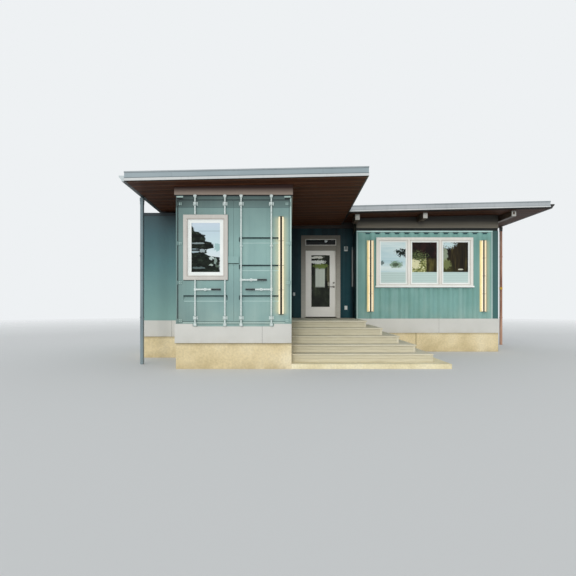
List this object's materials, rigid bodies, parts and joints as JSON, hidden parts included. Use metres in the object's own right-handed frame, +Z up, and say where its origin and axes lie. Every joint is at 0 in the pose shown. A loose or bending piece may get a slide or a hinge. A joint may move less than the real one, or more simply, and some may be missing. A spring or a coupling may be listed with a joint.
{
  "type": "shipping container cabin",
  "caption": "Small dwelling of steel container modules with a cargo-door end, low roofs, recessed porch, wide steps and a glazed entry door.",
  "frame": {"origin": "on the ground under the middle of the foundation wall of the cargo-door end", "axes": "+X to the right along the front, +Y to the back, +Z up"},
  "size_m": [10.983, 6.8342, 4.1709],
  "materials": {
    "concrete": "cast, lightly mottled",
    "skirt_paint": "painted smooth boards",
    "floor_ply": "sealed panels",
    "module_steel": "satin paint",
    "trim_steel": "satin paint",
    "flat_panel": "flat painted panels",
    "galvanised": "galvanised",
    "casing_paint": "painted trim boards",
    "window_vinyl": "smooth",
    "pane": "clear",
    "light_lens": "lit lens",
    "door_paint": "satin paint",
    "door_hardware": "satin",
    "fitting_plastic": "smooth",
    "deck_board": "composite boards",
    "framing": "sawn timber",
    "roof_sheet": "standing seam sheet",
    "fascia_paint": "painted metal",
    "soffit_board": "dark stained boards",
    "beam_paint": "painted timber",
    "gutter_paint": "painted metal",
    "copper_paint": "brown painted metal"
  },
  "bodies": {
    "cabin": {"bar_guides": "galvanised", "bar_handles": "galvanised", "bar_keepers": "galvanised", "cargo_hinges": "module_steel", "cargo_leaf_left": "module_steel", "cargo_leaf_right": "module_steel", "ceiling_panels": "module_steel", "entry_back_wall": "flat_panel", "entry_door_casing": "casing_paint", "entry_door_frame": "window_vinyl", "entry_frieze": "casing_paint", "entry_hinges": "door_hardware", "entry_wall_left": "flat_panel", "entry_wall_over": "flat_panel", "entry_wall_right": "flat_panel", "entry_wall_side": "flat_panel", "floor_panels": "floor_ply", "left_back_wall": "module_steel", "left_downspout": "gutter_paint", "left_east_wall": "module_steel", "left_end_frame": "module_steel", "left_fascia": "fascia_paint", "left_frieze": "casing_paint", "left_gutter": "gutter_paint", "left_rafters": "framing", "left_west_wall": "module_steel", "lock_box": "module_steel", "locking_bars": "galvanised", "porch_deck": "deck_board", "porch_fittings": "fitting_plastic", "right_back_wall": "module_steel", "right_beams": "beam_paint", "right_cripple": "casing_paint", "right_downspout": "copper_paint", "right_east_wall": "module_steel", "right_edge_trim": "trim_steel", "right_fascia": "fascia_paint", "right_front_wall": "module_steel", "right_gutter": "copper_paint", "roof_decks": "roof_sheet", "skirt_boards": "skirt_paint", "soffit_boards": "soffit_board", "stem_wall_left": "concrete", "stem_wall_right": "concrete", "stem_wall_wing": "concrete", "step_pad": "deck_board", "step_platform": "deck_board", "step_risers": "deck_board", "step_stringers": "framing", "step_treads": "deck_board", "transom_glass": "pane", "wall_lights": "light_lens", "window_casings": "casing_paint", "window_frames": "window_vinyl", "window_glass": "pane", "wing_roof": "roof_sheet", "wing_walls": "flat_panel"},
    "entry_door": {"entry_door_leaf": "door_paint", "entry_door_glass": "pane", "entry_lockset": "door_hardware"}
  },
  "joints": [
    {"name": "entry_door_hinge", "type": "hinge", "parent": "cabin", "child": "entry_door", "pos_m": [1.652, 4.39, 0.965], "axis": [0, 0, 1], "range_deg": [0, 95]}
  ]
}
